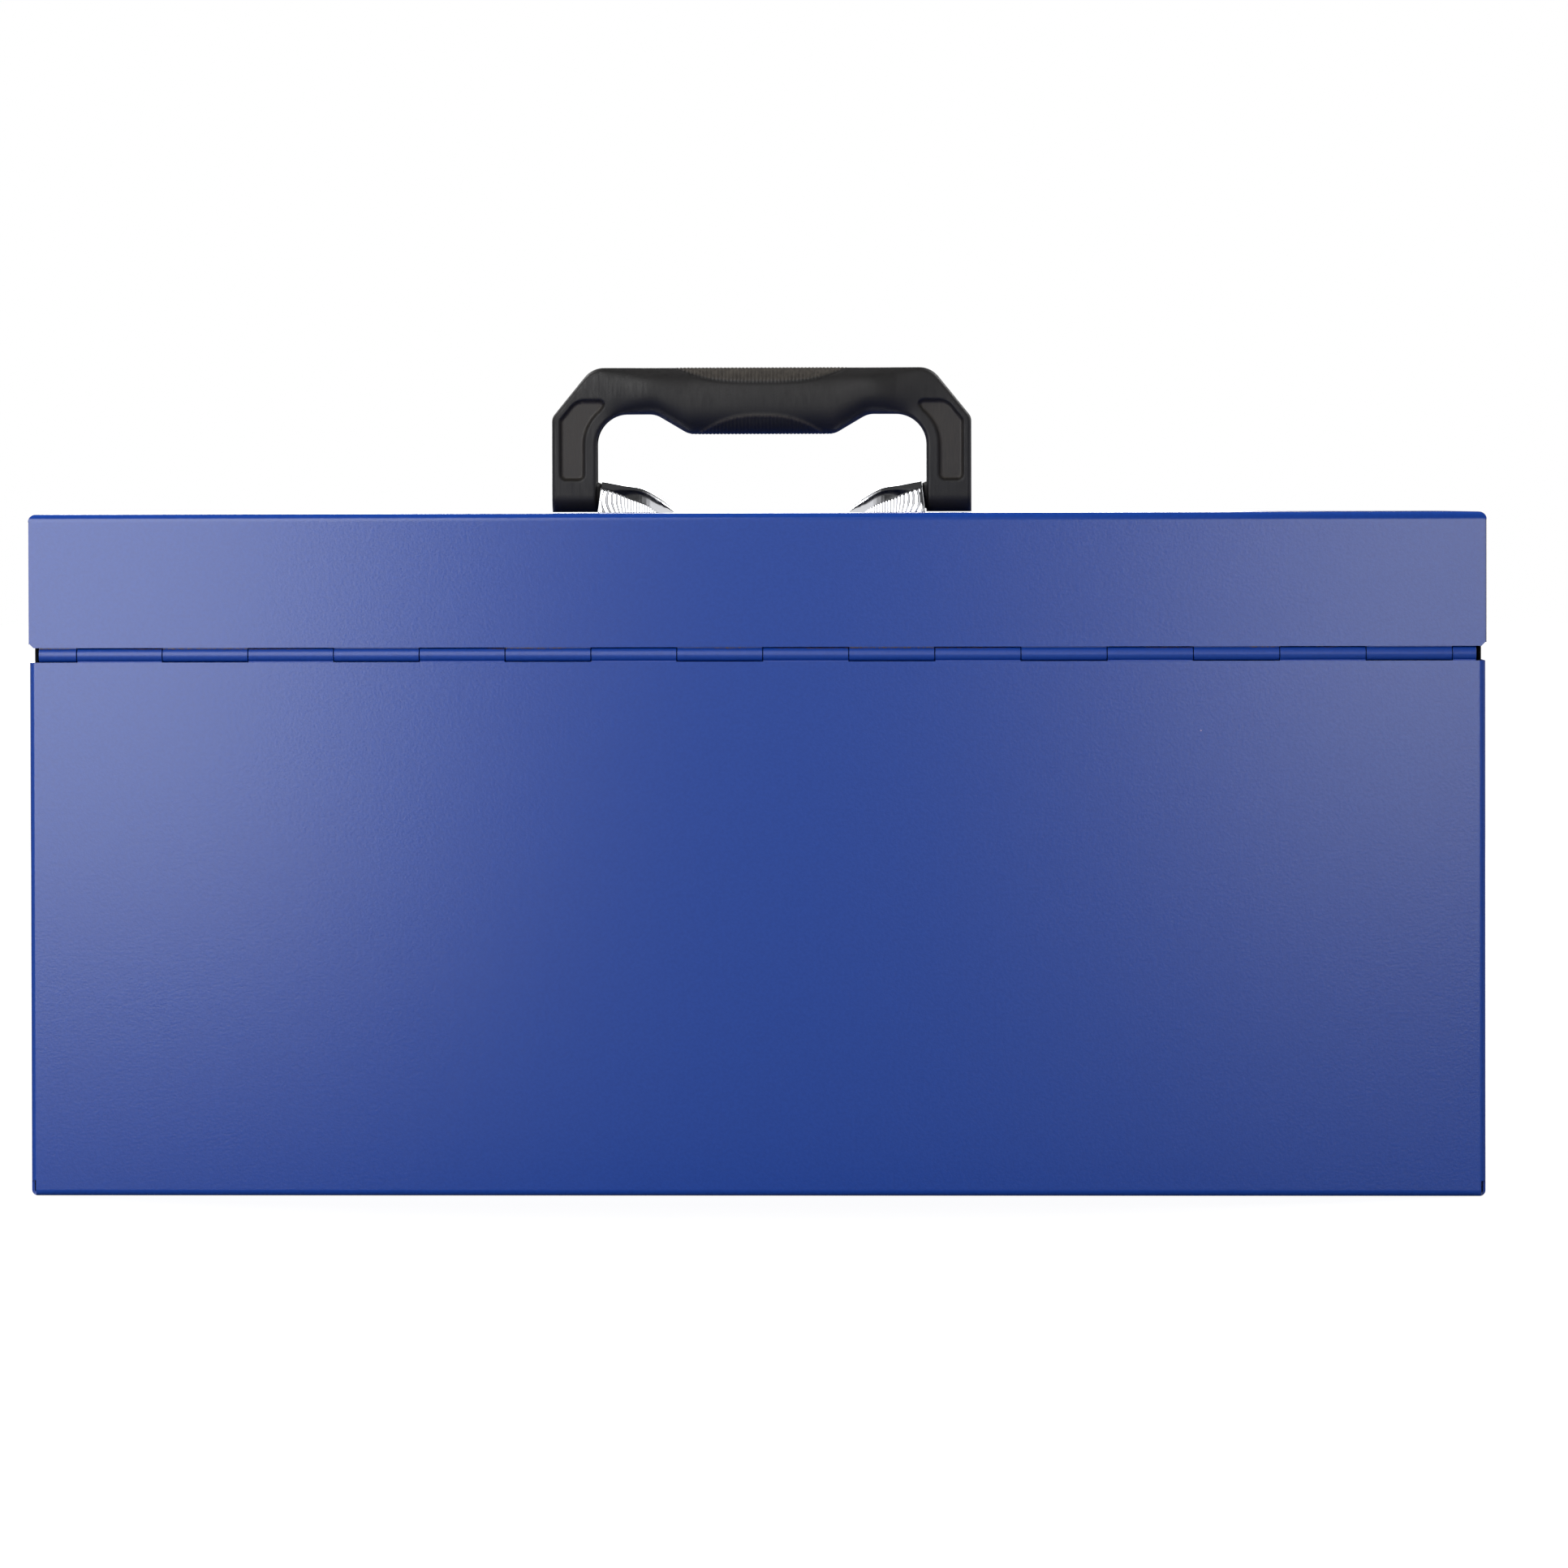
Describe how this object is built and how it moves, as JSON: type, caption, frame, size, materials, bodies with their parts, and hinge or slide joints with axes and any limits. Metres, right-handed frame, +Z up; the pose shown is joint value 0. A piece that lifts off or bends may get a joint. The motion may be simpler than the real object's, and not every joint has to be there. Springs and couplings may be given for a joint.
{
  "type": "portable tool box with drawers",
  "caption": "Portable sheet steel tool box with a hinged lid over an open till, sliding drawers below it, draw latches and a folding carrying handle.",
  "frame": {"origin": "middle of the flat bottom face that the box stands on", "axes": "+X along the length, towards the right end seen from the front; -Y out of the front, the way the drawers open; +Z up"},
  "size_m": [0.5088, 0.2332, 0.2911],
  "materials": {
    "blue_powder_coat": "semi-gloss powder coat, fine orange peel",
    "zinc_plated_steel": "bright zinc plate",
    "chrome_plate": "bright chrome or nickel plate",
    "anodised_aluminium": "satin anodised, drawn along its length",
    "black_plastic": "moulded, satin with a fine grain"
  },
  "bodies": {
    "case": {"body_shell": "blue_powder_coat", "front_header": "blue_powder_coat", "inner_rim": "blue_powder_coat", "till_floor": "blue_powder_coat", "hinge_body_leaf": "blue_powder_coat", "hinge_pin": "zinc_plated_steel", "drawer_1_case_rails": "zinc_plated_steel", "drawer_2_case_rails": "zinc_plated_steel", "drawer_3_case_rails": "zinc_plated_steel", "latch_base_left": "chrome_plate", "latch_base_right": "chrome_plate", "latch_pivot_left": "chrome_plate", "latch_pivot_right": "chrome_plate", "latch_rivets": "chrome_plate", "padlock_eye_lower": "chrome_plate"},
    "lid": {"lid_shell": "blue_powder_coat", "hinge_lid_leaf": "blue_powder_coat", "lid_stiffener": "zinc_plated_steel", "handle_clip_left": "chrome_plate", "handle_clip_right": "chrome_plate", "handle_pivot_pin_left": "zinc_plated_steel", "handle_pivot_pin_right": "zinc_plated_steel", "strike_left": "chrome_plate", "strike_right": "chrome_plate", "strike_rivets": "chrome_plate", "padlock_eye_upper": "chrome_plate"},
    "handle": {"handle": "black_plastic"},
    "drawer_1": {"drawer_1_tray": "blue_powder_coat", "drawer_1_front": "blue_powder_coat", "drawer_1_pull": "anodised_aluminium", "drawer_1_pull_caps": "black_plastic", "drawer_1_runners": "zinc_plated_steel"},
    "ball_cages_1": {"drawer_1_ball_cages": "zinc_plated_steel", "drawer_1_balls": "zinc_plated_steel"},
    "drawer_2": {"drawer_2_tray": "blue_powder_coat", "drawer_2_front": "blue_powder_coat", "drawer_2_pull": "anodised_aluminium", "drawer_2_pull_caps": "black_plastic", "drawer_2_runners": "zinc_plated_steel"},
    "ball_cages_2": {"drawer_2_ball_cages": "zinc_plated_steel", "drawer_2_balls": "zinc_plated_steel"},
    "drawer_3": {"drawer_3_tray": "blue_powder_coat", "drawer_3_front": "blue_powder_coat", "drawer_3_pull": "anodised_aluminium", "drawer_3_pull_caps": "black_plastic", "drawer_3_runners": "zinc_plated_steel"},
    "ball_cages_3": {"drawer_3_ball_cages": "zinc_plated_steel", "drawer_3_balls": "zinc_plated_steel"},
    "latch_lever_left": {"latch_lever_left": "chrome_plate"},
    "latch_bail_left": {"latch_bail_left": "chrome_plate"},
    "latch_lever_right": {"latch_lever_right": "chrome_plate"},
    "latch_bail_right": {"latch_bail_right": "chrome_plate"}
  },
  "joints": [
    {"name": "lid_hinge", "type": "hinge", "parent": "case", "child": "lid", "pos_m": [0, 0.1058, 0.18925], "axis": [-1, 0, 0], "range_deg": [0, 95]},
    {"name": "handle_fold", "type": "hinge", "parent": "lid", "child": "handle", "pos_m": [0, 0, 0.2448], "axis": [1, 0, 0], "range_deg": [-82, 82]},
    {"name": "drawer_1_slide", "type": "slide", "parent": "case", "child": "drawer_1", "axis": [0, -1, 0], "range_m": [0, 0.15]},
    {"name": "ball_cages_1_slide", "type": "slide", "parent": "case", "child": "ball_cages_1", "axis": [0, -1, 0], "range_m": [0, 0.075]},
    {"name": "drawer_2_slide", "type": "slide", "parent": "case", "child": "drawer_2", "axis": [0, -1, 0], "range_m": [0, 0.15]},
    {"name": "ball_cages_2_slide", "type": "slide", "parent": "case", "child": "ball_cages_2", "axis": [0, -1, 0], "range_m": [0, 0.075]},
    {"name": "drawer_3_slide", "type": "slide", "parent": "case", "child": "drawer_3", "axis": [0, -1, 0], "range_m": [0, 0.15]},
    {"name": "ball_cages_3_slide", "type": "slide", "parent": "case", "child": "ball_cages_3", "axis": [0, -1, 0], "range_m": [0, 0.075]},
    {"name": "latch_lever_left_swing", "type": "hinge", "parent": "case", "child": "latch_lever_left", "pos_m": [-0.15, -0.1135, 0.17], "axis": [-1, 0, 0], "range_deg": [0, 150]},
    {"name": "latch_bail_left_swing", "type": "hinge", "parent": "latch_lever_left", "child": "latch_bail_left", "pos_m": [-0.15, -0.112, 0.1635], "axis": [-1, 0, 0], "range_deg": [-180, 0]},
    {"name": "latch_lever_right_swing", "type": "hinge", "parent": "case", "child": "latch_lever_right", "pos_m": [0.15, -0.1135, 0.17], "axis": [-1, 0, 0], "range_deg": [0, 150]},
    {"name": "latch_bail_right_swing", "type": "hinge", "parent": "latch_lever_right", "child": "latch_bail_right", "pos_m": [0.15, -0.112, 0.1635], "axis": [-1, 0, 0], "range_deg": [-180, 0]}
  ],
  "couplings": [
    {"joint": "ball_cages_1_slide", "follows": "drawer_1_slide", "ratio": 0.5},
    {"joint": "ball_cages_2_slide", "follows": "drawer_2_slide", "ratio": 0.5},
    {"joint": "ball_cages_3_slide", "follows": "drawer_3_slide", "ratio": 0.5},
    {"joint": "latch_bail_left_swing", "follows": "latch_lever_left_swing", "ratio": -1.2},
    {"joint": "latch_bail_right_swing", "follows": "latch_lever_right_swing", "ratio": -1.2}
  ]
}
